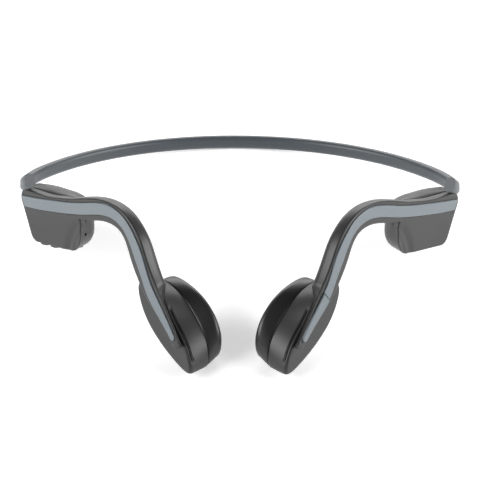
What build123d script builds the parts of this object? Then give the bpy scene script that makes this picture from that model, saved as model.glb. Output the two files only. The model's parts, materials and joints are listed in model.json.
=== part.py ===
from build123d import *
from math import asin, cos, degrees, radians, sin
import os

# Bone conduction headphones: a neckband of spring wire in a soft sleeve, two electronics
# housings, two hooks over the ears and two transducer pods. Millimetres, +Z up, -Y is the
# wearer's front and +X the wearer's left. The set lies on a table on the rear of its band
# and the lower tips of its pods.

# ---------------------------------------------------------------- driving dimensions
# Neckband, drawn in its own level plane: tangent arcs from the rear centre to a housing.
REAR_ARC_R, REAR_ARC_DEG = 75.0, 60.0
SIDE_ARC_R, SIDE_ARC_DEG = 37.0, 15.0
ENTRY_ARC_R, ENTRY_ARC_DEG = 14.0, 55.0
ENTRY_DROP_DEG = 36.0
BAND_DEPTH = 55.5
SLEEVE_TALL, SLEEVE_THICK, SLEEVE_ROUND = 4.5, 3.2, 1.3
CORE_R, CORE_Z = 0.6, 1.05
HARNESS_R, HARNESS_Z = 0.5, -1.15
WIRE_CLEARANCE = 0.05
FLEX_X = 22.0
FLEX_GAP = 1.6
SLEEVE_INSIDE_DEG = 47.0

# Arm: a flat plate-like assembly. u runs forward from the housing's rear, v inward to the
# head and z up. Its outer face is v = 0.
ARM_ROOT_X = 70.2
ARM_TURN_DEG = 40.0
HOUSING_T = 10.2
SEAM_V = 5.6
HOUSING_SHEAR = -0.45
HOUSING_WALL = 1.2
HOUSING_ROUND = 2.4
HOOK_T = 4.8
HOOK_LEG_END_S = -8.0
ROOT_WALL = [(25.8, 8.0), (25.8, -3.8), (36.0, -2.6), (36.0, 8.0)]
HOOK_WIRE_LINE = [(25.0, 1.0), (56.4, 6.6), (67.2, -12.4)]
HOOK_WIRE_BEND_R = 15.0
HOOK_CORE_V, HOOK_HARNESS_V = 2.1, 3.5
COLLAR_DEG = (42.0, 58.0)
COLLAR_SIZE = (5.0, 3.8, 1.4)
ANCHOR_AT, ANCHOR_SIZE = (8.0, 3.6, -4.6), (6.0, 4.0, 6.0)
TRIM_PROUD = 0.35
TRIM_SINK = 0.45
BOTTOM_SLOPE_DEG = 7.3
BOTTOM_U, BOTTOM_Z = 8.0, -15.9

# Pod: s runs along the pod, forward and down, and t across it, forward and up.
POD_U, POD_Z = 77.0, -22.0
POD_TILT_DEG = 42.0
POD_FACE_V = 2.0
POD_SEAM_V = 9.0
POD_RIM_T = 0.5
PAD_FACE_V = 15.0
POD_CAVITY_V = 3.4
POD_WALL = 1.9
MOTOR_S, MOTOR_T = -1.5, -5.0
MOTOR_L, MOTOR_W = 13.0, 6.4
MOTOR_V0 = 4.3
MOTOR_TALL = 4.7
MOTOR_WALL = 0.7
COIL_GAP = 0.3
COIL_WALL = 0.6
LEAF_V, LEAF_T = 9.4, 0.3
LEAF_L, LEAF_W = 19.0, 6.2
BRACKET_V, BRACKET_T = 10.3, 1.2
SCREW_R, SCREW_HEAD_R, SCREW_HEAD_T = 0.45, 0.8, 0.3

# Controls and port.
BUTTON_CLEARANCE = 0.25
BUTTON_TRAVEL = 0.4
VOLUME_V = 3.1
VOLUME_W = 2.6
VOLUME_U = {"volume_up_button": 14.5, "volume_down_button": 9.0}
VOLUME_L = {"volume_up_button": 4.2, "volume_down_button": 4.2}
VOLUME_PROUD = 1.5
PORT_U, PORT_V = 23.3, 3.4
USB_SHELL = (8.94, 3.26, 7.3)
USB_WALL = 0.3
FLAP_L, FLAP_W, FLAP_T = 9.8, 4.2, 1.0
TONGUE_SIZE = (6.7, 0.7)
KEY_INSIDE = 1.5
FLANGE_GROW, FLANGE_T = 0.8, 0.5
SWITCH_SIZE = (3.0, 2.6, 1.6)
LENS_U, LENS_R = 17.5, 0.5
MIC_AT = (29.05, 3.2, -7.4)
MF_START_S = -10.2
MF_PROUD, MF_BASE = 0.6, 0.6
MF_SWITCH_AT, MF_SWITCH_SIZE = (-5.0, 0.5), (3.0, 2.2, 0.8)

# Electronics inside the housings, as u, z outlines with depths along v.
BOARD_OUTLINE = [(5.0, -12.8), (26.0, -11.0), (26.0, -1.5), (12.5, -3.0)]
BOARD_V, BOARD_T = 5.9, 0.8
CAN_AT, CAN_SIZE = (17.0, -7.2), (9.0, 6.0, 1.4)
BATTERY_AT, BATTERY_SIZE = (18.5, -7.7, 2.2), (14.2, 7.4, 5.0)
FOAM_T = 0.8

# Pose on the table.
REST_TILT_DEG = -16.7
REST_SHIFT = (0.0, 8.04, 18.245)

BAND_PIECES = ("band_sleeve", "band_core", "band_harness")
ONE_OF_A_KIND = (
    "volume_switches", "usb_c_receptacle", "usb_port_cover", "main_board", "shield_can",
    "microphone", "status_led_lens", "battery_cell", "battery_foam", "battery_board",
    "multifunction_button", "multifunction_switch",
)


# ---------------------------------------------------------------- frames
def slab(face, v0, v1):
    """A face drawn in u, z becomes a plate from depth v0 to v1."""
    return extrude(Plane.XZ.offset(-v1) * face, v1 - v0, dir=(0, -1, 0))


def pod_plane(v):
    """Drawing plane across the pod at depth v, with x along s and y along t."""
    tilt = radians(POD_TILT_DEG)
    return Plane(origin=(POD_U, v, POD_Z), x_dir=(cos(tilt), 0, -sin(tilt)), z_dir=(0, -1, 0))


def pod_slab(sketch, v0, v1):
    return extrude(pod_plane(v1) * sketch, v1 - v0, dir=(0, -1, 0))


def bottom_plane(u, v):
    """Drawing plane on the housing's sloping bottom, its normal pointing into the housing."""
    slope = radians(BOTTOM_SLOPE_DEG)
    z = BOTTOM_Z + (u - HOUSING_SHEAR * v - BOTTOM_U) * sin(slope) / cos(slope)
    return Plane(origin=(u, v, z), x_dir=(cos(slope), 0, sin(slope)), z_dir=(-sin(slope), 0, cos(slope)))


def arm_location():
    turn = radians(ARM_TURN_DEG)
    return Plane(
        origin=(-ARM_ROOT_X, 0, 0), x_dir=(sin(turn), -cos(turn), 0), z_dir=(0, 0, 1)
    ).location


def polygon(points, radii):
    return make_face(FilletPolyline(*points, radius=radii, close=True))


def smooth(points):
    return make_face(Spline(*points, periodic=True))


# ---------------------------------------------------------------- neckband
def band_arcs():
    """Centre line of the wearer's right half of the band, as three tangent arcs."""
    rear_centre = Vector(0, BAND_DEPTH - REAR_ARC_R)
    rear_end = radians(90 + REAR_ARC_DEG)
    side_centre = rear_centre + Vector(cos(rear_end), sin(rear_end)) * (REAR_ARC_R - SIDE_ARC_R)
    side_end = radians(90 + REAR_ARC_DEG + SIDE_ARC_DEG)
    entry_centre = side_centre + Vector(cos(side_end), sin(side_end)) * (SIDE_ARC_R - ENTRY_ARC_R)
    return rear_centre, side_centre, entry_centre


def side_arc():
    return CenterArc(band_arcs()[1], SIDE_ARC_R, 90 + REAR_ARC_DEG, SIDE_ARC_DEG)


def entry_arc(from_deg, to_deg):
    """Stretch of the last bend, which turns in to the housing and dips below the band."""
    side = side_arc()
    start = 90 + REAR_ARC_DEG + SIDE_ARC_DEG
    arc = CenterArc(band_arcs()[2], ENTRY_ARC_R, start + from_deg, to_deg - from_deg)
    return arc.rotate(Axis(side @ 1, side % 1), ENTRY_DROP_DEG)


def band_path(start_deg, entry_deg):
    """Half-band path from a rear angle, 0 at the centre, to an angle along the entry bend."""
    rear = CenterArc(band_arcs()[0], REAR_ARC_R, 90 + start_deg, REAR_ARC_DEG - start_deg)
    return Wire([rear, side_arc(), entry_arc(0, entry_deg)])


def centre_path():
    half = degrees(asin(FLEX_X / REAR_ARC_R)) - degrees(FLEX_GAP / 2 / REAR_ARC_R)
    return Wire([CenterArc(band_arcs()[0], REAR_ARC_R, 90 - half, 2 * half)])


def side_start_deg():
    return degrees(asin(FLEX_X / REAR_ARC_R)) + degrees(FLEX_GAP / 2 / REAR_ARC_R)


def along(path, sketch, lift=0):
    plane = Plane(origin=path @ 0, x_dir=(0, 0, 1), z_dir=path % 0)
    return Pos(0, 0, lift) * sweep(plane * sketch, path=path)


def band_run(path, inner_path):
    section = RectangleRounded(SLEEVE_TALL, SLEEVE_THICK, SLEEVE_ROUND)
    core = along(inner_path, Circle(CORE_R), CORE_Z)
    harness = along(inner_path, Circle(HARNESS_R), HARNESS_Z)
    sleeve = along(path, section)
    sleeve -= along(inner_path, Circle(CORE_R + WIRE_CLEARANCE), CORE_Z)
    sleeve -= along(inner_path, Circle(HARNESS_R + WIRE_CLEARANCE), HARNESS_Z)
    return sleeve, core, harness


# ---------------------------------------------------------------- outlines
def housing_face(inset=0.0):
    outline = polygon(
        [(-1.9, 0.3), (6.1, -16.15), (33.2, -12.62), (33.2, 4.9), (16.0, 1.3)],
        [3.2, 3.6, 6.5, 6.0, 60.0],
    )
    return offset(outline, -inset) if inset else outline


def housing_slab(inset, v0, v1):
    """Housing outline carried inward along a direction that leans to the rear."""
    shifted = Pos(HOUSING_SHEAR * v0, v0, 0) * (Plane.XZ * housing_face(inset))
    lean = Vector(HOUSING_SHEAR, 1, 0)
    return extrude(shifted, (v1 - v0) * lean.length, dir=lean)


HOOK_TOP = [
    (27.0, 3.6), (34.9, 5.9), (41.9, 7.6), (47.5, 8.2), (52.2, 7.9), (56.6, 6.6), (60.7, 4.0),
    (64.1, 0.5), (66.7, -3.9), (69.7, -8.9), (72.8, -12.9), (76.5, -17.6), (81.9, -24.8),
]
HOOK_TIP = (82.2, -27.6)
TRIM_TIP = (80.4, -25.3)
HOOK_BOTTOM = [
    (79.3, -27.4), (71.8, -20.7), (67.0, -17.0), (62.8, -12.2), (60.0, -8.0), (58.2, -4.5),
    (56.4, -1.5), (53.9, 0.5), (50.3, 1.4), (46.1, 1.3), (40.8, 0.2), (34.0, -1.4), (27.0, -2.6),
]
TRIM_TOP = [
    (0.6, -2.0), (17.8, 0.8), (34.7, 4.4), (44.4, 6.9), (48.5, 7.4), (52.6, 7.0), (57.5, 5.1),
    (61.4, 1.8), (64.9, -2.6), (69.5, -11.1), (73.5, -15.9), (80.2, -23.7),
]
TRIM_BOTTOM = [
    (79.0, -25.6), (72.1, -19.5), (67.6, -15.0), (65.0, -10.6), (62.2, -6.0), (59.7, -1.9),
    (56.4, 1.7), (52.0, 3.5), (45.8, 3.4), (37.8, 1.4), (19.3, -2.7), (2.3, -5.3),
]


def hook_face():
    top = Spline(*HOOK_TOP)
    tip = ThreePointArc(HOOK_TOP[-1], HOOK_TIP, HOOK_BOTTOM[0])
    bottom = Spline(*HOOK_BOTTOM)
    root = Line(HOOK_BOTTOM[-1], HOOK_TOP[0])
    return make_face([top, tip, bottom, root])


def past_on_pod(s):
    """The half plane, in u and z, further along the pod than s."""
    start = Vector(POD_U, POD_Z) + Vector(1, 0).rotate(Axis.Z, -POD_TILT_DEG) * s
    return Pos(start.X, start.Y) * Rot(0, 0, -POD_TILT_DEG) * Pos(30, 0) * Rectangle(60, 60)


def moved_out(points, distance):
    """Points of an outline's edge, each moved square to the edge, to its left."""
    corners = [Vector(*p) for p in points]
    ends = zip([corners[0]] + corners[:-1], corners[1:] + [corners[-1]])
    sides = [(b - a).normalized().rotate(Axis.Z, 90) for a, b in ends]
    return [p + side * distance for p, side in zip(corners, sides)]


def trim_face(grow=0.0):
    top, bottom = moved_out(TRIM_TOP, grow), moved_out(TRIM_BOTTOM, grow)
    tip = Vector(*TRIM_TIP) + (Vector(*TRIM_TIP) - (top[-1] + bottom[0]) / 2).normalized() * grow
    edges = [
        Spline(*top), ThreePointArc(top[-1], tip, bottom[0]), Spline(*bottom),
        Line(bottom[-1], top[0]),
    ]
    return make_face(edges)


POD_SECTIONS = {
    POD_FACE_V: [
        (-17.6, -5.4), (-12.0, -9.9), (-2.0, -10.8), (7.5, -8.7),
        (15.0, -3.6), (10.0, -0.6), (0.0, 0.6), (-12.0, 0.2),
    ],
    POD_SEAM_V: [
        (-16.4, -6.0), (-11.0, -10.6), (-2.0, -11.6), (7.0, -9.8),
        (13.8, -4.6), (9.8, -0.4), (0.0, 1.2), (-10.8, -0.6),
    ],
    PAD_FACE_V: [
        (-16.6, -6.4), (-12.0, -10.2), (-3.0, -11.4), (6.0, -10.0),
        (12.1, -4.8), (9.2, 1.4), (-0.6, 4.0), (-11.0, 0.2),
    ],
}


def pod_section(section, inset):
    """Closed outline in s and t, its points drawn in towards its middle."""
    points = [Vector(*p) for p in POD_SECTIONS[section]]
    middle = sum(points, Vector()) / len(points)
    return smooth([p + (middle - p).normalized() * inset for p in points])


def pod_loft(rings):
    """Solid through rings of (depth, section, how far its points are drawn in)."""
    outlines = [pod_plane(v) * pod_section(section, inset) for v, section, inset in rings]
    return loft(outlines, ruled=True)


# ---------------------------------------------------------------- arm pieces
def make_pod():
    """Shell, rim and pad of one pod, before the hook's rib is added."""
    face, seam, pad_face = POD_FACE_V, POD_SEAM_V, PAD_FACE_V
    shell = pod_loft(
        [(face, face, 1.3), (face + 0.4, face, 0.4), (face + 1.3, face, 0.0), (seam, seam, 0.0)]
    )
    solid_shell = shell
    cavity = pod_slab(pod_section(face, POD_WALL), POD_CAVITY_V, seam + POD_RIM_T)
    shell -= cavity
    rim = pod_loft([(seam, seam, 0.35), (seam + POD_RIM_T, seam, 0.35)]) - cavity
    pad_start = seam + POD_RIM_T
    pad = pod_loft(
        [
            (pad_start, seam, 0.0), (pad_face - 1.8, pad_face, 0.0),
            (pad_face - 0.5, pad_face, 0.6), (pad_face, pad_face, 2.0),
        ]
    )
    pocket = Pos(MOTOR_S, MOTOR_T) * SlotOverall(LEAF_L, LEAF_W)
    pad -= pod_slab(pocket, POD_SEAM_V, BRACKET_V + BRACKET_T)
    return solid_shell, shell, rim, pad


def motor_box(length, width, v0, v1, corner=0.8):
    sketch = Pos(MOTOR_S, MOTOR_T) * RectangleRounded(length, width, corner)
    return pod_slab(sketch, v0, v1)


def make_driver():
    """Moving-magnet transducer: yoke cup, magnet, coil, leaf spring, bracket and screws."""
    top = MOTOR_V0 + MOTOR_TALL
    floor = MOTOR_V0 + MOTOR_WALL
    inner_l, inner_w = MOTOR_L - 2 * MOTOR_WALL, MOTOR_W - 2 * MOTOR_WALL
    yoke = motor_box(MOTOR_L, MOTOR_W, MOTOR_V0, top, 1.8)
    yoke -= motor_box(inner_l, inner_w, floor, top, 1.1)
    coil_l, coil_w = inner_l - 2 * COIL_GAP, inner_w - 2 * COIL_GAP
    hole_l, hole_w = coil_l - 2 * COIL_WALL, coil_w - 2 * COIL_WALL
    coil = motor_box(coil_l, coil_w, floor + 0.6, BRACKET_V, 0.6)
    coil -= motor_box(hole_l, hole_w, floor + 0.6, BRACKET_V, 0.3)
    magnet = motor_box(hole_l - 2 * COIL_GAP, hole_w - 2 * COIL_GAP, floor, top - 0.4, 0.2)
    slot = Pos(MOTOR_S, MOTOR_T) * SlotOverall(LEAF_L, LEAF_W)
    leaf = pod_slab(slot, LEAF_V, LEAF_V + LEAF_T)
    leaf -= motor_box(coil_l + 0.4, coil_w + 0.4, LEAF_V, LEAF_V + LEAF_T, 0.6)
    bracket = pod_slab(slot, BRACKET_V, BRACKET_V + BRACKET_T)
    screws = Part()
    for side in (-1, 1):
        place = Pos(MOTOR_S + side * (LEAF_L / 2 - 1.6), MOTOR_T)
        bracket += pod_slab(place * Circle(1.2), LEAF_V + LEAF_T, BRACKET_V)
        shank = pod_slab(place * Circle(SCREW_R), LEAF_V, BRACKET_V + 0.6)
        leaf -= shank
        bracket -= shank
        screws += shank + pod_slab(place * Circle(SCREW_HEAD_R), LEAF_V - SCREW_HEAD_T, LEAF_V)
    return {
        "driver_yoke": yoke, "driver_magnet": magnet, "driver_coil": coil,
        "driver_leaf_spring": leaf, "driver_bracket": bracket, "driver_screws": screws,
    }


def hook_wire(radius, v):
    """Wire along the hook at depth v: from the housing, round the bend, down to the pod."""
    path = FilletPolyline(*HOOK_WIRE_LINE, radius=HOOK_WIRE_BEND_R)
    path = Pos(0, v, 0) * (Plane.XZ * path)
    plane = Plane(origin=path @ 0, z_dir=path % 0)
    return sweep(plane * Circle(radius), path=path)


def make_hook():
    """Rubber-skinned hook, full thickness to the pod's upper end and then a low rib."""
    beyond = past_on_pod(HOOK_LEG_END_S)
    leg = slab(hook_face() - beyond, 0, HOOK_T)
    leg = fillet(leg.faces().sort_by(Axis.Y)[-1].edges().filter_by(GeomType.BSPLINE), 2.3)
    leg = fillet(leg.faces().sort_by(Axis.Y)[0].edges().filter_by(GeomType.BSPLINE), 0.7)
    rib = slab(hook_face() & beyond, 0, POD_FACE_V + 1.5)
    rib = fillet(rib.faces().sort_by(Axis.Y)[0].edges().filter_by(GeomType.LINE, reverse=True), 0.7)
    return leg + rib


def make_housing(hook):
    """Outer shell and inner cover as one hollow body, leaving room for the hook's root."""
    housing = housing_slab(0, 0, HOUSING_T)
    housing = fillet(housing.faces().sort_by(Axis.Y)[-1].edges(), HOUSING_ROUND)
    housing = fillet(housing.faces().sort_by(Axis.Y)[0].edges(), 0.9)
    housing -= hook
    cavity = housing_slab(HOUSING_WALL, HOUSING_WALL, HOUSING_T - HOUSING_WALL)
    cavity -= slab(make_face(Polyline(*ROOT_WALL, close=True)), -1, HOOK_T + 1.0)
    return housing - cavity


def make_arm():
    """All pieces that both arms share, in the arm's own u, v, z frame."""
    solid_shell, pod_shell, pod_rim, pad = make_pod()
    hook = make_hook()
    housing = make_housing(hook)
    trim = slab(trim_face(), -TRIM_PROUD, TRIM_SINK)
    trim = fillet(trim.faces().sort_by(Axis.Y)[0].edges(), 0.25)
    pocket = slab(trim_face(), -1, TRIM_SINK)
    core = hook_wire(CORE_R, HOOK_CORE_V)
    wires = hook_wire(HARNESS_R, HOOK_HARNESS_V)
    core_channel = hook_wire(CORE_R + WIRE_CLEARANCE, HOOK_CORE_V)
    wires_channel = hook_wire(HARNESS_R + WIRE_CLEARANCE, HOOK_HARNESS_V)
    hook = hook - solid_shell - core_channel - wires_channel - pocket
    housing = housing - core_channel - wires_channel - pocket
    pod_shell = pod_shell - core_channel - wires_channel
    to_arm = arm_location().inverse()
    solid_collar = along(entry_arc(*COLLAR_DEG), RectangleRounded(*COLLAR_SIZE))
    section = RectangleRounded(SLEEVE_TALL, SLEEVE_THICK, SLEEVE_ROUND)
    sleeve_end = along(entry_arc(0, SLEEVE_INSIDE_DEG), section)
    bores = Part()
    for radius, lift in ((CORE_R, CORE_Z), (HARNESS_R, HARNESS_Z)):
        bores += along(entry_arc(0, ENTRY_ARC_DEG), Circle(radius + WIRE_CLEARANCE), lift)
    collar = solid_collar - sleeve_end - bores
    housing = housing - to_arm * solid_collar - to_arm * sleeve_end
    anchor = Pos(*ANCHOR_AT) * Box(*ANCHOR_SIZE) - to_arm * solid_collar - to_arm * bores
    return {
        "housing_shell": housing & Pos(20, SEAM_V - 20, 0) * Box(120, 40, 80),
        "housing_cover": housing & Pos(20, SEAM_V + 20, 0) * Box(120, 40, 80),
        "trim": trim, "hook_overmould": hook, "hook_core": core, "hook_wires": wires,
        "band_collar": to_arm * collar, "band_anchor": anchor,
        "pod_shell": pod_shell, "pod_rim": pod_rim, "contact_pad": pad, **make_driver(),
    }


def add_volume_buttons(arm):
    """Two keys in the right housing's bottom, each with a tactile switch behind it."""
    switches = Part()
    for name, u in VOLUME_U.items():
        plane = bottom_plane(u, VOLUME_V)
        length = VOLUME_L[name]
        key = SlotOverall(length, VOLUME_W)
        gap = 2 * BUTTON_CLEARANCE
        hole = SlotOverall(length + gap, VOLUME_W + gap)
        cap = extrude(plane.offset(-VOLUME_PROUD) * key, VOLUME_PROUD + KEY_INSIDE)
        cap = fillet(cap.faces().sort_by(Axis.Z)[0].edges(), 0.5)
        flange = SlotOverall(length + FLANGE_GROW, VOLUME_W + FLANGE_GROW)
        cap += extrude(plane.offset(KEY_INSIDE) * flange, FLANGE_T)
        arm["housing_shell"] -= extrude(plane.offset(-3) * hole, 4.5)
        switch_at = plane.offset(KEY_INSIDE + FLANGE_T + BUTTON_TRAVEL + 0.1)
        switches += extrude(switch_at * Rectangle(*SWITCH_SIZE[:2]), SWITCH_SIZE[2])
        arm[name] = cap
    arm["volume_switches"] = switches


def add_port(arm):
    """USB-C receptacle in the housing's bottom, under a hinged rubber flap."""
    long_side, short_side, depth = USB_SHELL
    plane = bottom_plane(PORT_U, PORT_V)
    outer = RectangleRounded(long_side, short_side, short_side / 2 - 0.01)
    inner_size = (long_side - 2 * USB_WALL, short_side - 2 * USB_WALL)
    inner = RectangleRounded(*inner_size, inner_size[1] / 2 - 0.01)
    mouth = plane.offset(FLAP_T + 0.1)
    receptacle = extrude(mouth * outer, depth)
    receptacle -= extrude(mouth * inner, depth - 0.6)
    tongue = extrude(mouth.offset(0.9) * Rectangle(*TONGUE_SIZE), depth - 1.2)
    arm["usb_c_receptacle"] = receptacle + tongue
    arm["housing_shell"] -= extrude(plane.offset(-2) * outer, depth + 6)
    gap = 2 * BUTTON_CLEARANCE
    recess = RectangleRounded(FLAP_L + gap, FLAP_W + gap, 1.2)
    arm["housing_shell"] -= extrude(plane.offset(-3) * recess, 3 + FLAP_T)
    flap = extrude(plane * RectangleRounded(FLAP_L, FLAP_W, 1.0), FLAP_T - 0.1)
    arm["usb_port_cover"] = flap


def add_right_inside(arm):
    board_face = polygon(BOARD_OUTLINE, 1.0)
    arm["main_board"] = slab(board_face, BOARD_V, BOARD_V + BOARD_T)
    can = slab(Pos(*CAN_AT) * Rectangle(*CAN_SIZE[:2]), BOARD_V + BOARD_T, BOARD_V + BOARD_T + CAN_SIZE[2])
    arm["shield_can"] = can
    nose = Plane(origin=MIC_AT, z_dir=(1, 0, 0))
    arm["microphone"] = extrude(nose * Rectangle(2.0, 2.0), 1.0)
    arm["housing_shell"] -= extrude(nose.offset(1.0) * Circle(0.5), 6)
    lens_plane = bottom_plane(LENS_U, VOLUME_V)
    arm["housing_shell"] -= extrude(lens_plane.offset(-2) * Circle(LENS_R), 4)
    arm["status_led_lens"] = extrude(lens_plane * Circle(LENS_R), HOUSING_WALL)


def add_left_inside(arm):
    """Battery with its foam and protection board, and the play key on the left pod."""
    u, z, v0 = BATTERY_AT
    length, tall, thick = BATTERY_SIZE
    cell = slab(Pos(u, z) * RectangleRounded(length, tall, 1.0), v0, v0 + thick)
    arm["battery_cell"] = cell
    foam = slab(Pos(u - 0.5, z) * Rectangle(length - 4, tall - 2), v0 + thick, v0 + thick + FOAM_T)
    arm["battery_foam"] = foam
    circuit_at = Pos(u + length / 2 + 0.6, z)
    arm["battery_board"] = slab(circuit_at * Rectangle(0.8, tall - 2.4), v0, v0 + thick - 0.5)
    key = trim_face() & past_on_pod(MF_START_S)
    hole = trim_face(BUTTON_CLEARANCE) & past_on_pod(MF_START_S - BUTTON_CLEARANCE)
    cap = slab(key, -MF_PROUD, MF_BASE)
    arm["multifunction_button"] = fillet(cap.faces().sort_by(Axis.Y)[0].edges(), 0.3)
    switch_v = MF_BASE + BUTTON_TRAVEL + 0.1
    arm["hook_overmould"] -= slab(hole, -2, switch_v)
    arm["trim"] -= slab(hole, -2, MF_BASE)
    switch = Pos(*MF_SWITCH_AT) * Rectangle(*MF_SWITCH_SIZE[:2])
    arm["multifunction_switch"] = pod_slab(switch, switch_v, switch_v + MF_SWITCH_SIZE[2])
    arm["hook_overmould"] -= arm["multifunction_switch"]


def resting(piece):
    """The piece's solids, turned and lifted into the set's pose on the table."""
    place = Pos(*REST_SHIFT) * Rot(REST_TILT_DEG, 0, 0)
    return Compound([place * solid for solid in piece.solids()])


def make_all():
    parts = {}
    band = band_run(centre_path(), centre_path())
    for name, solid in zip(BAND_PIECES, band):
        parts[name + "_centre"] = solid
    path = band_path(side_start_deg(), SLEEVE_INSIDE_DEG)
    wire_path = band_path(side_start_deg(), ENTRY_ARC_DEG)
    half_band = dict(zip(BAND_PIECES, band_run(path, wire_path)))
    right, left = make_arm(), make_arm()
    add_volume_buttons(right)
    add_port(right)
    add_right_inside(right)
    add_left_inside(left)
    for side, arm in (("right", right), ("left", left)):
        pieces = {name: arm_location() * solid for name, solid in arm.items()}
        pieces.update(half_band)
        for name, solid in pieces.items():
            if side == "left":
                solid = solid.mirror(Plane.YZ)
            shared = name not in VOLUME_U and name not in ONE_OF_A_KIND
            parts[f"{side}_{name}" if shared else name] = solid
    return {name: resting(solid) for name, solid in parts.items()}


if __name__ == "__main__":
    os.makedirs("parts", exist_ok=True)
    for name, solid in make_all().items():
        export_step(solid, f"parts/{name}.step")
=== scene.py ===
import json
import math
from math import cos, radians, sin

import bmesh
import bpy
import numpy as np
from mathutils import Matrix, Vector

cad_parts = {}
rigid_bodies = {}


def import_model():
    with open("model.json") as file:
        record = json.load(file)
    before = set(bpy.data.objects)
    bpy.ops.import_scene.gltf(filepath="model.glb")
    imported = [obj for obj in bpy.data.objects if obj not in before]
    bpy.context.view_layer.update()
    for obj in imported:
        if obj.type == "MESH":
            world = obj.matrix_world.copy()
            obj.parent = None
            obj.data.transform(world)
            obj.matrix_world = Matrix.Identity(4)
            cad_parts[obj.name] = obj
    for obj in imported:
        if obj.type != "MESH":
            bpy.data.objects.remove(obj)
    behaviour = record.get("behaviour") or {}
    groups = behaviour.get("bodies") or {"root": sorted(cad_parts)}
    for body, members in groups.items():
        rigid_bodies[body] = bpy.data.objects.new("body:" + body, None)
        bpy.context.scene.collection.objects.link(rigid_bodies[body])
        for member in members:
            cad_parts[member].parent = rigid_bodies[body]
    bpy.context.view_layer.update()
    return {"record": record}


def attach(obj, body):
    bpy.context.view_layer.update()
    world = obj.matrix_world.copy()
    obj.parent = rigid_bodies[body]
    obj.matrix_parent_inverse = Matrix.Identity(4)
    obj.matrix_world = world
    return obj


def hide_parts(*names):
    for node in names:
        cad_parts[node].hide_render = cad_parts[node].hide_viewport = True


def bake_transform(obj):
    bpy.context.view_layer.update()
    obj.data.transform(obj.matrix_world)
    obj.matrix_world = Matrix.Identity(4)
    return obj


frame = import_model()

# ---------------------------------------------------------------- frames, millimetres to metres
TILT = radians(-16.7)
SHIFT = (0.0, 8.04, 18.245)
TURN = radians(40.0)
POD_TILT = radians(42.0)
SIDES = {"right": 1.0, "left": -1.0}


def band_point(x, y, z):
    """A point of the band's level frame as it lies on the table."""
    return (
        x / 1000,
        (y * cos(TILT) - z * sin(TILT) + SHIFT[1]) / 1000,
        (y * sin(TILT) + z * cos(TILT) + SHIFT[2]) / 1000,
    )


def arm_point(u, v, z, side):
    """u runs forward along the arm, v inward from its outer face and z up."""
    x = -70.2 + u * sin(TURN) + v * cos(TURN)
    return band_point(x * SIDES[side], -u * cos(TURN) + v * sin(TURN), z)


def pod_uz(s, t):
    return 77.0 + s * cos(POD_TILT) + t * sin(POD_TILT), -22.0 - s * sin(POD_TILT) + t * cos(POD_TILT)


# ---------------------------------------------------------------- curves
def spline(points, count, closed=False):
    """Points spread along a smooth curve through the given points."""
    p = np.array(points, float)
    if closed:
        p = np.vstack([p, p[:1]])
    h = np.linalg.norm(np.diff(p, axis=0), axis=1)
    n = len(p)
    a, rhs = np.zeros((n, n)), np.zeros((n, p.shape[1]))
    for i in range(1, n - 1):
        a[i, i - 1], a[i, i], a[i, i + 1] = h[i - 1], 2 * (h[i - 1] + h[i]), h[i]
        rhs[i] = 6 * ((p[i + 1] - p[i]) / h[i] - (p[i] - p[i - 1]) / h[i - 1])
    if closed:
        a[0, 0], a[0, -1] = 1, -1
        a[-1, 0], a[-1, 1] = 2 * h[0], h[0]
        a[-1, -1], a[-1, -2] = 2 * h[-1], h[-1]
        rhs[-1] = 6 * ((p[1] - p[0]) / h[0] - (p[-1] - p[-2]) / h[-1])
    else:
        a[0, 0] = a[-1, -1] = 1
    m = np.linalg.solve(a, rhs)
    ends = np.concatenate([[0], np.cumsum(h)])
    where = np.linspace(0, ends[-1], count, endpoint=not closed)
    i = np.clip(np.searchsorted(ends, where, side="right") - 1, 0, n - 2)
    left, right = (where - ends[i])[:, None], (ends[i + 1] - where)[:, None]
    step = h[i][:, None]
    return (
        m[i] * right**3 / (6 * step) + m[i + 1] * left**3 / (6 * step)
        + (p[i] / step - m[i] * step / 6) * right + (p[i + 1] / step - m[i + 1] * step / 6) * left
    )


def rounded(corners, radii, count):
    """Points spread evenly round a polygon with arcs for corners."""
    out = []
    for i, (corner, radius) in enumerate(zip(corners, radii)):
        c = np.array(corner, float)
        to_last = np.array(corners[i - 1], float) - c
        to_next = np.array(corners[(i + 1) % len(corners)], float) - c
        to_last, to_next = to_last / np.linalg.norm(to_last), to_next / np.linalg.norm(to_next)
        half = math.acos(np.clip(to_last @ to_next, -1, 1)) / 2
        middle = (to_last + to_next) / np.linalg.norm(to_last + to_next)
        centre = c + middle * radius / sin(half)
        start = c + to_last * radius / math.tan(half) - centre
        turn = math.pi - 2 * half
        turn *= np.sign(to_last[0] * to_next[1] - to_last[1] * to_next[0])
        for k in range(13):
            b = -turn * k / 12
            x, y = start[0] * cos(b) - start[1] * sin(b), start[0] * sin(b) + start[1] * cos(b)
            out.append(centre + (x, y))
    p = np.vstack([out, out[:1]])
    along = np.concatenate([[0], np.cumsum(np.linalg.norm(np.diff(p, axis=0), axis=1))])
    where = np.linspace(0, along[-1], count, endpoint=False)
    return np.stack([np.interp(where, along, p[:, k]) for k in (0, 1)], 1)


def bar_ring(length, width, radius, count):
    """A rounded rectangle about the origin."""
    x, y = length / 2, width / 2
    return rounded([(-x, y), (-x, -y), (x, -y), (x, y)], [radius] * 4, count)


def inward(ring, distance):
    """A closed ring's points moved square to it, towards its inside."""
    before, after = np.roll(ring, 1, 0), np.roll(ring, -1, 0)
    tangent = after - before
    tangent /= np.linalg.norm(tangent, axis=1)[:, None]
    normal = np.stack([-tangent[:, 1], tangent[:, 0]], 1)
    area = np.sum(ring[:, 0] * after[:, 1] - after[:, 0] * ring[:, 1])
    return ring + normal * np.sign(area) * distance


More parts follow.
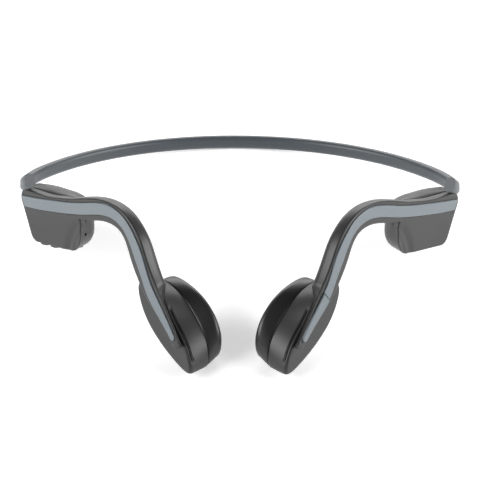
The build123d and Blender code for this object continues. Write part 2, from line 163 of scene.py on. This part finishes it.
# ---------------------------------------------------------------- meshes
def add_mesh(name, verts, faces, material, body):
    mesh = bpy.data.meshes.new(name)
    mesh.from_pydata([tuple(v) for v in verts], [], faces)
    mesh.validate()
    mesh.update()
    mesh.polygons.foreach_set("use_smooth", [True] * len(mesh.polygons))
    mesh.set_sharp_from_angle(angle=radians(50))
    mesh.materials.append(material)
    obj = bpy.data.objects.new(name, mesh)
    bpy.context.scene.collection.objects.link(obj)
    if body:
        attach(obj, body)
    return obj


def skin(name, rings, material, body, flip=False):
    """Closed surface through rings of points, its two ends closed to their middles."""
    count = len(rings[0])
    verts, faces = [tuple(p) for ring in rings for p in ring], []
    for r in range(len(rings) - 1):
        for k in range(count):
            k2 = (k + 1) % count
            faces.append((r * count + k, r * count + k2, (r + 1) * count + k2, (r + 1) * count + k))
    for r, back in ((0, True), (len(rings) - 1, False)):
        middle = len(verts)
        verts.append(tuple(np.mean([verts[r * count + k] for k in range(count)], axis=0)))
        for k in range(count):
            a, b = r * count + k, r * count + (k + 1) % count
            faces.append((b, a, middle) if back else (a, b, middle))
    if flip:
        faces = [f[::-1] for f in faces]
    return add_mesh(name, verts, faces, material, body)


# ---------------------------------------------------------------- materials
ROUGH_VARY = 0.06


def material(
    name, colour, rough, bump=0.0, grain=900.0, tint=0.06, coat=0.0, metal=0.0, sheen=0.0
):
    """A shader with a wide drift in colour, and a fine grain in roughness and height."""
    mat = bpy.data.materials.new(name)
    mat.use_nodes = True
    nodes, links = mat.node_tree.nodes, mat.node_tree.links
    shader = nodes["Principled BSDF"]
    place = nodes.new("ShaderNodeTexCoord")

    def noise(scale, detail):
        node = nodes.new("ShaderNodeTexNoise")
        node.inputs["Scale"].default_value = scale
        node.inputs["Detail"].default_value = detail
        links.new(place.outputs["Object"], node.inputs["Vector"])
        return node

    def spread(source, low, high):
        node = nodes.new("ShaderNodeMapRange")
        node.inputs["To Min"].default_value = low
        node.inputs["To Max"].default_value = high
        links.new(source.outputs["Fac"], node.inputs["Value"])
        return node

    wide, fine = noise(55.0, 3.0), noise(grain, 2.0)
    mix = nodes.new("ShaderNodeMix")
    mix.data_type = "RGBA"
    mix.inputs["A"].default_value = (*[c * (1 - tint) for c in colour], 1)
    mix.inputs["B"].default_value = (*[min(1, c * (1 + tint)) for c in colour], 1)
    links.new(wide.outputs["Fac"], mix.inputs["Factor"])
    links.new(mix.outputs["Result"], shader.inputs["Base Color"])
    grained = spread(fine, rough - ROUGH_VARY, rough + ROUGH_VARY)
    links.new(grained.outputs["Result"], shader.inputs["Roughness"])
    if bump:
        relief = nodes.new("ShaderNodeBump")
        relief.inputs["Strength"].default_value = bump
        relief.inputs["Distance"].default_value = 0.00005
        links.new(fine.outputs["Fac"], relief.inputs["Height"])
        links.new(relief.outputs["Normal"], shader.inputs["Normal"])
    shader.inputs["Metallic"].default_value = metal
    shader.inputs["Coat Weight"].default_value = coat
    shader.inputs["Coat Roughness"].default_value = 0.3
    shader.inputs["Sheen Weight"].default_value = sheen
    shader.inputs["Sheen Roughness"].default_value = 0.5
    return mat


SLEEVE = material("sleeve_silicone", (0.055, 0.066, 0.076), 0.42, 0.10, 2600, 0.05, sheen=0.15)
SOFT = material("soft_touch", (0.024, 0.024, 0.0245), 0.42, 0.12, 3200, 0.05, sheen=0.05)
POD = material("pod_matte", (0.026, 0.026, 0.0265), 0.44, 0.30, 2600, 0.08, sheen=0.05)
TRIM = material("trim_satin", (0.135, 0.163, 0.182), 0.3, 0.05, 3000, 0.04, coat=0.4)
# Near-black for the ribbon round the stripe: painted shade in the gap between the trim and its groove.
LINE = material("painted_gap_shade", (0.004, 0.004, 0.004), 0.6)
RIM = material("rim_satin", (0.06, 0.06, 0.061), 0.33, 0.04, 3000, 0.04)
PAD = material("pad_silicone", (0.02, 0.02, 0.0205), 0.36, 0.08, 2600, 0.05)
KEY = material("key_rubber", (0.016, 0.016, 0.0165), 0.5, 0.15, 2600, 0.05)
TITANIUM = material("titanium", (0.55, 0.54, 0.52), 0.32, 0.1, 2000, 0.04, metal=1.0)
WIRE = material("wire_insulation", (0.03, 0.03, 0.03), 0.45, 0.1, 2000)
PLASTIC = material("inner_plastic", (0.09, 0.09, 0.09), 0.55, 0.2, 2000)
STEEL = material("stamped_steel", (0.62, 0.62, 0.6), 0.28, 0.1, 1800, 0.04, metal=1.0)
NICKEL = material("nickel_plate", (0.66, 0.64, 0.6), 0.18, 0.02, 1800, 0.03, metal=1.0)
COPPER = material("enamelled_copper", (0.62, 0.27, 0.12), 0.3, 0.4, 5000, 0.15, metal=1.0)
BOARD = material("solder_mask", (0.015, 0.10, 0.045), 0.35, 0.1, 1500, 0.15)
FOIL = material("battery_foil", (0.7, 0.7, 0.7), 0.38, 0.35, 700, 0.05, metal=1.0)
FOAM = material("closed_cell_foam", (0.05, 0.05, 0.05), 0.9, 0.8, 3500, 0.3)
LENS = material("light_pipe", (0.7, 0.7, 0.68), 0.4, 0.0, 1500)

BY_SLOT = {
    "sleeve_silicone": SLEEVE, "soft_touch_overmould": SOFT, "soft_touch_housing": SOFT, "trim_grey": TRIM,
    "rim_plastic": RIM, "pad_silicone": PAD, "button_rubber": KEY, "titanium_wire": TITANIUM,
    "wire_insulation": WIRE, "inner_plastic": PLASTIC, "bright_steel": STEEL, "magnet_nickel": NICKEL,
    "coil_copper": COPPER, "circuit_board": BOARD, "switch_metal": STEEL, "battery_foil": FOIL,
    "foam": FOAM, "lens_clear": LENS,
}
for part in frame["record"]["subparts"]:
    obj = bpy.data.objects[part["node"]]
    chosen = BY_SLOT[part["material_slot"]]
    if not obj.material_slots:
        obj.data.materials.append(chosen)
    for held in obj.material_slots:
        held.link = "OBJECT"
        held.material = chosen

# ---------------------------------------------------------------- neckband
REAR_R, SIDE_R, ENTRY_R = 75.0, 37.0, 14.0
REAR_END, SIDE_END = radians(60), radians(75)
DROP = radians(36.0)
BAND_DEPTH = 55.5


def band_line(entry_deg):
    """Points of half the band's centre line, from the rear centre to the housing, with tangents."""
    rear = np.array([0.0, BAND_DEPTH - REAR_R])
    points, tangents = [], []

    def heading(a):
        return np.array([-sin(a), cos(a)])

    for a in np.linspace(0, REAR_END, 121):
        points.append(np.append(rear + REAR_R * heading(a), 0))
        tangents.append(np.array([-cos(a), -sin(a), 0]))
    side = rear + heading(REAR_END) * (REAR_R - SIDE_R)
    for a in np.linspace(REAR_END, SIDE_END, 19)[1:]:
        points.append(np.append(side + SIDE_R * heading(a), 0))
        tangents.append(np.array([-cos(a), -sin(a), 0]))
    end, axis = points[-1], Vector(tangents[-1])
    entry = side + heading(SIDE_END) * (SIDE_R - ENTRY_R)
    drop = Matrix.Rotation(DROP, 3, axis)
    for a in np.linspace(SIDE_END, SIDE_END + radians(entry_deg), 41)[1:]:
        offset = np.append(entry + ENTRY_R * heading(a), 0) - end
        points.append(end + np.array(drop @ Vector(offset)))
        tangents.append(np.array(drop @ Vector((-cos(a), -sin(a), 0))))
    return points, tangents


def band_tube(name, outline, lift, entry_deg, mat, side, first=0):
    """A tube along half the band, turned down through the entry bend at the housing."""
    points, tangents = band_line(entry_deg)
    points, tangents = points[first:], tangents[first:]
    up, rings = np.array([0.0, 0.0, 1.0]), []
    for p, t in zip(points, tangents):
        up = up - t * (up @ t)
        up /= np.linalg.norm(up)
        across = np.cross(t, up)
        ring = [p + up * (a + lift) + across * b for a, b in outline]
        rings.append([band_point(q[0] * SIDES[side], q[1], q[2]) for q in ring])
    tube = skin(name, rings, mat, None, flip=side == "left")
    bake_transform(tube)
    return tube


# Outline, lift, how far round the entry bend, material, slot, first point and rear node.
BAND_RUNS = {
    "sleeve": (bar_ring(4.5, 3.2, 1.35, 40), 0.0, 57.0, SLEEVE, "sleeve_silicone", 0, True),
    "collar": (bar_ring(4.7, 3.4, 1.4, 40), 0.0, 58.0, SLEEVE, "sleeve_silicone", 174, False),
    "core": (bar_ring(1.2, 1.2, 0.599, 16), 1.05, 55.0, TITANIUM, "titanium_wire", 0, True),
    "harness": (bar_ring(1.0, 1.0, 0.499, 16), -1.15, 55.0, WIRE, "wire_insulation", 0, True),
}
for side in SIDES:
    for part, (ring, lift, entry, mat, slot, first, has_rear) in BAND_RUNS.items():
        tube = band_tube(f"{side}_{part}_run", ring, lift, entry, mat, side, first)
        rear = [f"band_{part}_centre"] if has_rear and side == "right" else []
        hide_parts(f"{side}_band_{part}", *rear)

# ---------------------------------------------------------------- hooks
HOOK_TOP = [
    (27.0, 3.6), (34.9, 5.9), (41.9, 7.6), (47.5, 8.2), (52.2, 7.9), (56.6, 6.6), (60.7, 4.0),
    (64.1, 0.5), (66.7, -3.9), (69.7, -8.9), (72.8, -12.9), (76.5, -17.6), (81.9, -24.8),
]
HOOK_BOTTOM = [
    (27.0, -2.6), (34.0, -1.4), (40.8, 0.2), (46.1, 1.3), (50.3, 1.4), (53.9, 0.5), (56.4, -1.5),
    (58.2, -4.5), (60.0, -8.0), (62.8, -12.2), (67.0, -17.0), (71.8, -20.7), (79.3, -27.4),
]


def hook_section(low, high, thick, sunk=0.0, lean=0.0, outer_r=0.7, inner_r=2.35):
    """Outline across the hook: flat outer face at depth sunk, rounded on the head side."""
    low, high = np.array(low), np.array(high)
    width = np.linalg.norm(high - low)
    along = (high - low) / width
    outer_r, inner_r = min(outer_r, width / 2.1), min(inner_r, width / 2.1, thick / 2)
    out = []
    for a0, w0, v0, r in (
        (-90, width - outer_r, outer_r, outer_r), (0, width - inner_r, thick - inner_r, inner_r),
        (90, inner_r, thick - inner_r, inner_r), (180, outer_r, outer_r, outer_r),
    ):
        for k in range(9):
            a = radians(a0 + 90 * k / 8)
            w, v = w0 + r * cos(a), v0 + r * sin(a)
            if w > width / 2:
                w -= lean * max(0.0, v - 0.5)
            q = low + along * w
            out.append((q[0], max(v, sunk), q[1]))
    return out


hooks = {}
for side in SIDES:
    tops, lows = spline(HOOK_TOP, 120), spline(HOOK_BOTTOM, 120)
    rings = []
    for k, (high, low) in enumerate(zip(tops, lows)):
        middle = (high + low) / 2
        s = (middle[0] - 77.0) * cos(POD_TILT) - (middle[1] + 22.0) * sin(POD_TILT)
        fade = min(1.0, max(0.0, (s + 11.0) / 4.0))
        thick = 4.8 + (3.4 - 4.8) * fade * fade * (3 - 2 * fade)
        t_high = (high[0] - 77.0) * sin(POD_TILT) + (high[1] + 22.0) * cos(POD_TILT)
        lean = fade * max(0.0, t_high - 0.1 + 0.19 * s) / 1.6
        rings.append([arm_point(*q, side) for q in hook_section(low, high, thick, 0.0, lean)])
    high, low = tops[-1], lows[-1]
    ahead = np.array([cos(POD_TILT), -sin(POD_TILT)])
    for turn in range(10, 90, 10):
        a = radians(turn)
        middle, half = (high + low) / 2 + ahead * 1.75 * sin(a), (high - low) / 2 * cos(a)
        sunk = 1.5 * (1 - cos(a)) ** 2
        section = hook_section(middle - half, middle + half, 3.4, sunk, lean * cos(a))
        rings.append([arm_point(*q, side) for q in section])
    name, arm = f"{side}_hook_skin", f"{side}_arm"
    hook = skin(name, rings, SOFT, arm, flip=side == "right")
    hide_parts(f"{side}_hook_overmould")
    hooks[side] = hook

# ---------------------------------------------------------------- housings
HOUSING = [(-1.9, 0.3), (6.1, -16.15), (33.2, -12.62), (33.2, 4.9), (16.0, 1.3)]
HOUSING_RADII = [3.2, 3.6, 6.5, 6.0, 60.0]
HOUSING_SHEAR = -0.45
FLUTES = (
    (0.42, 1.5, [(34.4, -2.6), (31.4, -4.6), (28.9, -7.8), (27.3, -11.0), (26.4, -14.4)]),
    (0.30, 1.1, [(37.0, -3.4), (32.9, -6.4), (30.9, -9.3), (29.8, -12.6), (29.4, -15.0)]),
)
HOUSING_OUTLINE = rounded(HOUSING, HOUSING_RADII, 200)
FLUTE_LINES = [(depth, width, spline(line, 60)) for depth, width, line in FLUTES]


def soft_step(x, low, high):
    x = min(1.0, max(0.0, (x - low) / (high - low)))
    return x * x * (3 - 2 * x)


def lid_lift(u, z, v):
    """How far the lid's top stands over the housing's outline: a crown that falls to both ends."""
    crown = 1.5 * math.exp(-(((u - 14.0) / 10.0) ** 2)) - 0.6
    crown -= 0.9 * soft_step(u, 22.0, 31.0)
    return crown * soft_step(v, 2.2, 6.0) * soft_step(z, -7.0, -1.0)


def housing_ring(v, inset, side, share=0.0, crease=0.0):
    """The housing's outline at a depth, leaning to the rear, with the nose's flutes pressed in."""
    ring = inward(HOUSING_OUTLINE, inset)
    pressed = inward(ring, crease)
    on_top = np.array([soft_step(z, -5.0, -2.0) for u, z in ring])
    ring = ring + (pressed - ring) * on_top[:, None]
    if share:
        middle = ring.mean(axis=0)
        ring = ring + (middle - ring) * share
    out = []
    for u, z in ring:
        sink = 0.0
        if v < 0.9:
            for depth, width, line in FLUTE_LINES:
                gap = math.sqrt(np.min((line[:, 0] - u) ** 2 + (line[:, 1] - z) ** 2)) / width
                sink += depth * math.exp(-gap * gap)
        z += lid_lift(u, z, v)
        out.append(arm_point(u + HOUSING_SHEAR * v, v + sink, z, side))
    return out


# Depth, inset, share of the way to the middle, and how deep the crease is there.
FACE_SHARES = (
    0.99, 0.94, 0.88, 0.82, 0.76, 0.7, 0.64, 0.58, 0.52, 0.46, 0.4,
    0.35, 0.3, 0.26, 0.22, 0.18, 0.15, 0.12, 0.09, 0.06, 0.03, 0.0,
)
HOUSING_ROWS = [(0.0, 0.4, share, 0) for share in FACE_SHARES] + [
    (0.06, 0.22, 0, 0), (0.2, 0.08, 0, 0), (0.45, 0, 0, 0), (0.9, 0, 0, 0), (1.8, 0, 0, 0.02),
    (2.6, 0, 0, 0.1), (2.9, 0, 0, 0.22), (3.0, 0, 0, 0.38), (3.1, 0, 0, 0.26), (3.4, 0, 0, 0.08),
    (4.1, 0, 0, 0), (5.0, 0, 0, 0), (5.57, 0, 0, 0), (5.6, 0.05, 0, 0), (5.63, 0, 0, 0),
    (6.6, 0.02, 0, 0), (7.5, 0.15, 0, 0), (8.3, 0.5, 0, 0), (8.9, 0.95, 0, 0), (9.4, 1.5, 0, 0),
    (9.8, 2.2, 0, 0), (10.05, 2.9, 0, 0), (10.2, 3.1, 0.1, 0), (10.2, 3.1, 0.3, 0),
    (10.2, 3.1, 0.6, 0), (10.2, 3.1, 0.95, 0),
]
housings = {}
for side in SIDES:
    rings = [housing_ring(v, inset, side, share, crease) for v, inset, share, crease in HOUSING_ROWS]
    name, arm = f"{side}_housing_skin", f"{side}_arm"
    housings[side] = skin(name, rings, SOFT, arm, flip=side == "left")
    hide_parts(f"{side}_housing_shell", f"{side}_housing_cover")

# Openings in the right housing: both keys, the port under its cover, the status light and the
# microphone. Each is cut by a plug pushed in from outside.
BOTTOM_SLOPE = radians(7.3)


def bottom_point(u, v, along, depth):
    """A point over the housing's sloping bottom: along it from u, and depth into the housing."""
    z = -15.9 + (u - HOUSING_SHEAR * v - 8.0) * math.tan(BOTTOM_SLOPE)
    ahead, up = cos(BOTTOM_SLOPE), sin(BOTTOM_SLOPE)
    return u + along * ahead - depth * up, z + along * up + depth * ahead


def plug(u, v, length, width, radius, start, end, grow=(0.0, 0.0)):
    """Rings of a rounded bar square to the housing's bottom, from one depth to another."""
    rings = []
    for depth, more in ((start, grow[0]), (end, grow[1])):
        size = (length + 2 * more, width + 2 * more)
        corner = min(radius + more, size[1] / 2 - 0.01)
        ring = []
        for along, across in bar_ring(*size, corner, 64):
            pu, pz = bottom_point(u, v, along, depth)
            ring.append(arm_point(pu, v + across, pz, "right"))
        rings.append(ring)
    return rings


def cut(target, plugs):
    """The target with each plug taken out of it."""
    for rings in plugs:
        tool = skin("cutter", rings, SOFT, "right_arm")
        bm = bmesh.new()
        bm.from_mesh(tool.data)
        bmesh.ops.recalc_face_normals(bm, faces=bm.faces)
        bm.to_mesh(tool.data)
        bm.free()
        step = target.modifiers.new("cut", "BOOLEAN")
        step.object, step.operation, step.solver = tool, "DIFFERENCE", "EXACT"
        shown = target.evaluated_get(bpy.context.evaluated_depsgraph_get())
        result = bpy.data.meshes.new_from_object(shown)
        target.modifiers.remove(step)
        target.data = result
        bpy.data.objects.remove(tool)
    target.data.set_sharp_from_angle(angle=radians(40))


nose_hole = []
for u in (30.4, 34.0):
    turns = [radians(a) for a in range(0, 360, 15)]
    nose_hole.append([arm_point(u, 3.2 + 0.5 * cos(a), -7.4 + 0.5 * sin(a), "right") for a in turns])
cut(housings["right"], [
    plug(14.5, 3.1, 4.7, 3.1, 1.54, -1.0, 3.4), plug(9.0, 3.1, 4.7, 3.1, 1.54, -1.0, 3.4),
    plug(23.05, 3.4, 9.7, 4.3, 1.1, -1.0, 1.0), plug(23.3, 3.4, 9.1, 3.42, 1.7, 0.5, 8.6),
    plug(17.5, 3.1, 1.1, 1.1, 0.54, -1.0, 0.6), nose_hole,
])

flap = plug(23.05, 3.4, 9.3, 3.9, 1.0, 0.95, 0.25)
flap += plug(23.05, 3.4, 9.3, 3.9, 1.0, 0.13, 0.08, (-0.05, -0.25))
port_cover = skin("usb_cover_skin", flap, KEY, "usb_port_cover")
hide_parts("usb_port_cover")

# ---------------------------------------------------------------- pods
FACE_V, SEAM_V, PAD_V = 2.0, 9.0, 15.0
FACE_RING = [
    (-17.6, -5.4), (-12.0, -9.9), (-2.0, -10.8), (7.5, -8.7),
    (14.6, -4.2), (10.6, -1.0), (0.0, 0.6), (-12.0, 0.2),
]
SEAM_RING = [
    (-16.4, -6.0), (-11.0, -10.6), (-2.0, -11.6), (7.0, -9.8),
    (13.8, -4.6), (9.8, -0.4), (0.0, 1.2), (-10.8, -0.6),
]
PAD_RING = [
    (-16.6, -6.4), (-12.0, -10.2), (-3.0, -11.4), (6.0, -10.0),
    (12.1, -4.8), (9.2, 1.4), (-0.6, 4.0), (-11.0, 0.2),
]
AROUND = 144


def pod_outline(v):
    """The pod's outline at a depth, between its face, its seam and its pad."""
    keys = ((FACE_V + 1.3, FACE_RING), (SEAM_V, SEAM_RING), (PAD_V - 1.8, PAD_RING))
    v = min(max(v, keys[0][0]), keys[-1][0])
    for (v0, a), (v1, b) in zip(keys, keys[1:]):
        if v <= v1:
            share = (v - v0) / (v1 - v0)
            return spline(np.array(a) * (1 - share) + np.array(b) * share, AROUND, closed=True)


def pod_ring(v, inset, side, slot_depth=0.0, share=0.0):
    ring = inward(pod_outline(v), inset)
    if slot_depth:
        s = ring[:, 0]
        on_front = ring[:, 1] > -3.4
        reach = np.clip((s + 5.0) / 1.2, 0, 1) * np.clip((12.6 - s) / 1.2, 0, 1) * on_front
        moved = inward(ring, slot_depth)
        ring = ring + (moved - ring) * reach[:, None]
    if share:
        middle = ring.mean(axis=0)
        ring = ring + (middle - ring) * share
    out = []
    for s, t in ring:
        u, z = pod_uz(s, t)
        x, y, height = arm_point(u, v, z, side)
        out.append((x, y, max(height, 0.00003)))
    return out


# Depth, inset, depth of the slots along the front edge, and share of the way to the middle.
SHELL_ROWS = [(FACE_V, 1.1, 0, share) for share in (0.98, 0.8, 0.6, 0.4, 0.2, 0.08, 0.0)] + [
    (2.02, 0.85, 0, 0), (2.1, 0.58, 0, 0), (2.25, 0.36, 0, 0), (2.45, 0.2, 0, 0), (2.7, 0.1, 0, 0),
    (2.85, 0.07, 0.02, 0), (2.95, 0.05, 0.4, 0), (3.15, 0.04, 0.45, 0), (3.3, 0.03, 0.04, 0),
    (3.5, 0.02, 0, 0), (3.62, 0.02, 0.25, 0), (3.74, 0.01, 0.02, 0), (4.2, 0, 0, 0),
    (5.5, -0.05, 0, 0), (7.0, -0.08, 0, 0), (8.4, -0.08, 0, 0), (9.1, -0.05, 0, 0),
    (9.25, 0, 0, 0), (9.32, 0.12, 0, 0), (9.32, 0.5, 0, 0),
]
PAD_ROWS = [
    (9.44, 0.5, 0, 0), (9.44, 0.12, 0, 0), (9.52, 0, 0, 0), (9.8, -0.06, 0, 0), (10.6, -0.12, 0, 0),
    (11.6, -0.16, 0, 0), (12.6, -0.16, 0, 0), (13.3, -0.1, 0, 0), (13.8, 0.02, 0, 0),
    (14.15, 0.2, 0, 0), (14.42, 0.45, 0, 0), (14.62, 0.8, 0, 0), (14.76, 1.3, 0, 0),
    (14.86, 2.0, 0, 0), (14.92, 2.0, 0, 0.2), (14.97, 2.0, 0, 0.45), (15.0, 2.0, 0, 0.7),
    (15.0, 2.0, 0, 0.95),
]
for side in SIDES:
    arm, flip = f"{side}_arm", side == "left"
    rings = [pod_ring(v, inset, side, slots, share) for v, inset, slots, share in SHELL_ROWS]
    shell = skin(f"{side}_pod_skin", rings, POD, arm, flip=flip)
    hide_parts(f"{side}_pod_shell")
    rings = [pod_ring(v, inset, side, slots, share) for v, inset, slots, share in PAD_ROWS]
    pad = skin(f"{side}_pad_skin", rings, PAD, arm, flip=flip)
    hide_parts(f"{side}_contact_pad")

# ---------------------------------------------------------------- stripe
TRIM_TOP = [
    (0.6, -2.0), (17.8, 0.8), (34.7, 4.4), (44.4, 6.9), (48.5, 7.4), (52.6, 7.0), (57.5, 5.1),
    (61.4, 1.8), (64.9, -2.6), (69.5, -11.1), (73.5, -15.9), (80.2, -23.7),
]
TRIM_TIP = (80.45, -25.35)
TRIM_BOTTOM = [
    (79.0, -25.6), (72.1, -19.5), (67.6, -15.0), (65.0, -10.6), (62.2, -6.0), (59.7, -1.9),
    (56.4, 1.7), (52.0, 3.5), (45.8, 3.4), (37.8, 1.4), (19.3, -2.7), (2.3, -5.3),
]
tip = spline([TRIM_TOP[-1], TRIM_TIP, TRIM_BOTTOM[0]], 13)[1:-1]
outline = np.vstack([spline(TRIM_TOP, 400), tip, spline(TRIM_BOTTOM, 400)])
key_hole = inward(outline, -0.25)
on_pod = (outline[:, 0] - 77.0) * cos(POD_TILT) - (outline[:, 1] + 22.0) * sin(POD_TILT) > -10.55
cut(hooks["left"], [[[arm_point(u, v, z, "left") for u, z in key_hole[on_pod]] for v in (-1.0, 1.05)]])
# A near-black ribbon set in the gap round the stripe's trim: painted shade where the groove falls dark.
for side in SIDES:
    around = outline if side == "right" else outline[~on_pod]
    count = len(around)
    verts, faces = [], []
    for v, grow in ((0.4, 0.02), (-0.03, 0.02), (-0.03, 0.2), (0.4, 0.2)):
        verts += [arm_point(u, v, z, side) for u, z in inward(around, -grow)]
    for r in range(4):
        up = (r + 1) % 4 * count
        for k in range(count):
            k2 = (k + 1) % count
            face = (r * count + k, r * count + k2, up + k2, up + k)
            faces.append(face if side == "right" else face[::-1])
    add_mesh(f"{side}_stripe_gap_shade", verts, faces, LINE, f"{side}_arm")

# The play key's switch, narrow enough for the hook's leaning flank.
rows = []
for v, grow in ((1.9, 0.0), (1.3, 0.0), (1.25, -0.3), (1.12, -0.35)):
    ring = bar_ring(3.0 + 2 * grow, 1.2 + 2 * grow, 0.2, 32)
    rows.append([arm_point(u, v, z, "left") for u, z in (pod_uz(s - 5.0, t) for s, t in ring)])
switch = skin("play_switch", rows, STEEL, "left_arm")
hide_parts("multifunction_switch")

# ---------------------------------------------------------------- studio
bpy.ops.mesh.primitive_plane_add(size=6.0, location=(0, 0, 0))
floor = bpy.context.object
floor.name = "studio_floor"
FLOOR = material("floor_pale", (0.9, 0.9, 0.9), 0.7, 0.0, 40, 0.01)
FLOOR.node_tree.nodes["Principled BSDF"].inputs["Emission Color"].default_value = (1, 1, 1, 1)
FLOOR.node_tree.nodes["Principled BSDF"].inputs["Emission Strength"].default_value = 0.42
floor.data.materials.append(FLOOR)

bpy.context.scene.view_settings.view_transform = "Standard"
world = bpy.data.worlds.new("studio")
bpy.context.scene.world = world
world.use_nodes = True
sky = world.node_tree
toward = sky.nodes.new("ShaderNodeTexCoord")
split = sky.nodes.new("ShaderNodeSeparateXYZ")
height = sky.nodes.new("ShaderNodeMapRange")
height.inputs["From Min"].default_value = 0.05
height.inputs["From Max"].default_value = 0.85
height.inputs["To Min"].default_value = 0.8
height.inputs["To Max"].default_value = 0.16
sky.links.new(toward.outputs["Generated"], split.inputs["Vector"])
sky.links.new(split.outputs["Z"], height.inputs["Value"])
sky.links.new(height.outputs["Result"], sky.nodes["Background"].inputs["Strength"])


def softbox(name, at, aim, size, power):
    lamp = bpy.data.lights.new(name, "AREA")
    lamp.shape, lamp.size, lamp.size_y, lamp.energy = "RECTANGLE", size[0], size[1], power
    obj = bpy.data.objects.new(name, lamp)
    bpy.context.scene.collection.objects.link(obj)
    obj.location = at
    obj.rotation_euler = (Vector(aim) - Vector(at)).to_track_quat("-Z", "Y").to_euler()


softbox("key_left", (-0.9, -0.3, 0.6), (0, 0, 0.01), (0.8, 0.6), 12.0)
softbox("fill_right", (1.0, -0.1, 0.5), (0, 0, 0.01), (0.8, 0.6), 13.0)
softbox("rear", (0.0, 1.1, 0.45), (0, 0, 0.0), (1.4, 0.5), 9.0)

camera = bpy.data.objects.new("camera", bpy.data.cameras.new("camera"))
bpy.context.scene.collection.objects.link(camera)
camera.data.sensor_width = 36.0
camera.data.lens = 114.75
camera.data.clip_start = 0.01
eye, target = Vector((0.0002, -0.39445, 0.2985)), Vector((0.0002, -0.0096, 0.01164))
camera.matrix_world = (
    Matrix.Translation(eye)
    @ (target - eye).to_track_quat("-Z", "Y").to_matrix().to_4x4()
    @ Matrix.Rotation(radians(0.5), 4, "Z")
)
bpy.context.scene.camera = camera
